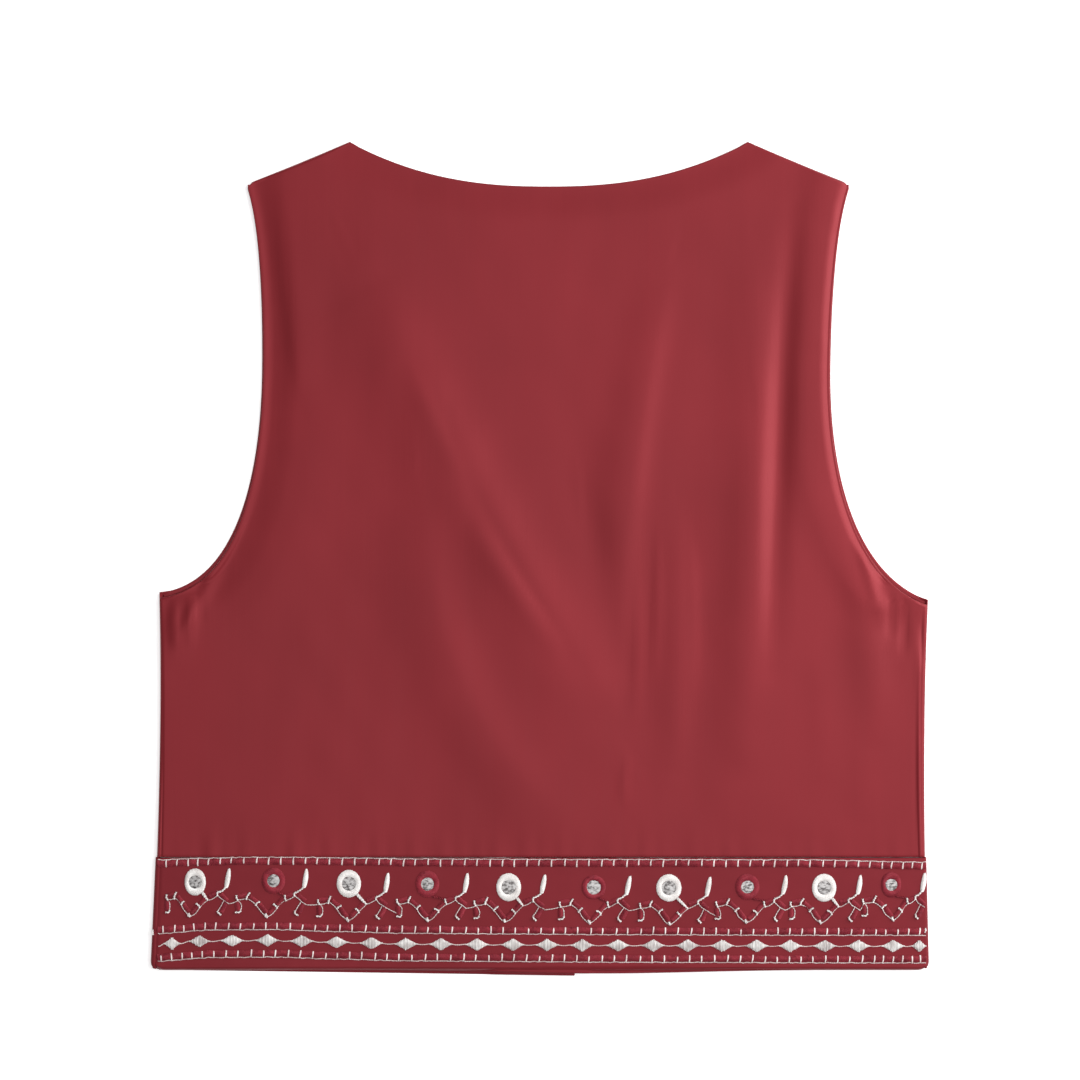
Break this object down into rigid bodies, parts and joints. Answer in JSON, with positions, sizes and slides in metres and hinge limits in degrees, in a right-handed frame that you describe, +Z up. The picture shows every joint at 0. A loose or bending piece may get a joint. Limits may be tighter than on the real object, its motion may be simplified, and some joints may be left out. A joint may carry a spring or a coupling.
{
  "type": "embroidered vest",
  "caption": "Cropped sleeveless vest laid flat with its back up, with an embroidered mirror-work band round its hem.",
  "frame": {"origin": "middle of the underside, on the surface that the vest lies on", "axes": "+Z up out of the back, +Y from the hem to the neck, +X to the wearer's right"},
  "size_m": [0.467, 0.5, 0.0081],
  "materials": {
    "satin": "wine-red satin-faced cloth",
    "band_cloth": "darker wine-red woven cloth",
    "ivory_thread": "ivory embroidery thread with a soft shine",
    "red_thread": "dark red embroidery thread with a soft shine",
    "mirror": "silvered mirror"
  },
  "bodies": {
    "root": {"back_panel": "satin", "left_front_panel": "satin", "right_front_panel": "satin", "back_band": "band_cloth", "left_front_band": "band_cloth", "right_front_band": "band_cloth", "ring_1": "ivory_thread", "ring_2": "red_thread", "ring_3": "ivory_thread", "ring_4": "red_thread", "ring_5": "ivory_thread", "ring_6": "red_thread", "ring_7": "ivory_thread", "ring_8": "red_thread", "ring_9": "ivory_thread", "ring_10": "red_thread", "mirror_1": "mirror", "mirror_2": "mirror", "mirror_3": "mirror", "mirror_4": "mirror", "mirror_5": "mirror", "mirror_6": "mirror", "mirror_7": "mirror", "mirror_8": "mirror", "mirror_9": "mirror", "mirror_10": "mirror"}
  },
  "joints": []
}
